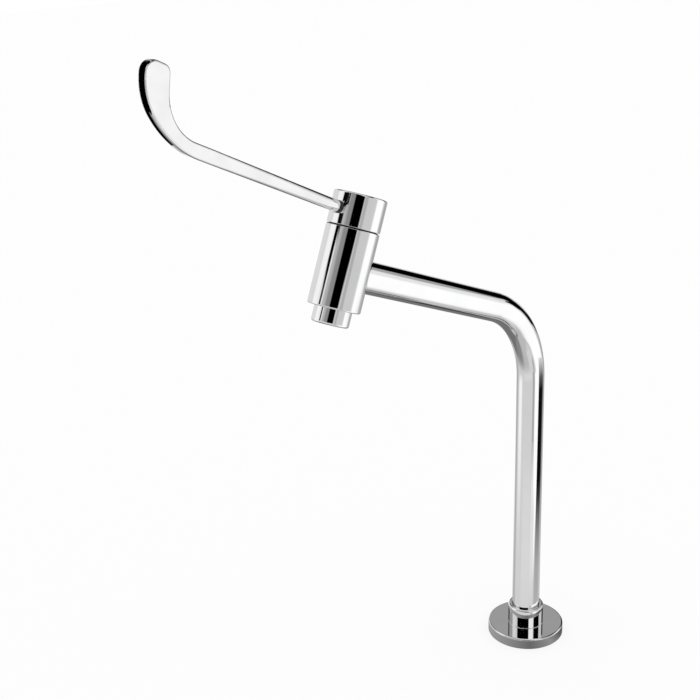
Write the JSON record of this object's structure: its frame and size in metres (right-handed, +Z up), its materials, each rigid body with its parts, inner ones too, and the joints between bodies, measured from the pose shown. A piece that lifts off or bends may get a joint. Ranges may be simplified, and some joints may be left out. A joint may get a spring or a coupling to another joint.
{
  "type": "elbow lever tap",
  "caption": "Single-hole pillar tap with a bent column and an inclined valve head, worked by the elbow with a long lever that turns a ceramic disc valve.",
  "frame": {"origin": "centre of the flange's underside, on the deck plane and on the axis of column and shank", "axes": "+Z up along the column, -Y forwards along the arm and the lever at rest, +X to the side, x = 0 the plane of symmetry"},
  "size_m": [0.0706, 0.4325, 0.6426],
  "materials": {
    "chrome": "polished",
    "brass": "machined",
    "rubber": "matte",
    "steel": "bright zinc",
    "plastic": "moulded",
    "black_plastic": "moulded",
    "ceramic": "lapped"
  },
  "bodies": {
    "tap": {"base_flange": "chrome", "column_collar": "chrome", "column_tube": "chrome", "valve_body": "chrome", "aerator_housing": "chrome", "mounting_shank": "brass", "column_olive": "brass", "backnut": "brass", "spout_nipple": "brass", "headwork_bush": "brass", "flange_gasket": "rubber", "deck_washer_rubber": "rubber", "nipple_o_ring": "rubber", "headwork_gasket": "rubber", "seat_seal": "rubber", "aerator_washer": "rubber", "deck_washer_steel": "steel", "aerator_screens": "steel", "aerator_insert": "plastic", "glide_ring": "black_plastic", "fixed_disc": "ceramic"},
    "handle": {"handle_cap": "chrome", "drive_adapter": "plastic", "cap_grub_screw": "steel", "lever_stud": "steel", "lever_lock_ring": "black_plastic", "elbow_lever": "chrome", "spindle": "brass", "spindle_o_rings": "rubber", "spindle_clip": "steel", "thrust_washer": "plastic", "rotating_disc": "ceramic"}
  },
  "joints": [
    {"name": "lever_turn", "type": "hinge", "parent": "tap", "child": "handle", "pos_m": [0, -0.21491, 0.45725], "axis": [0, 0.3811, 0.9245], "range_deg": [0, 90]}
  ]
}
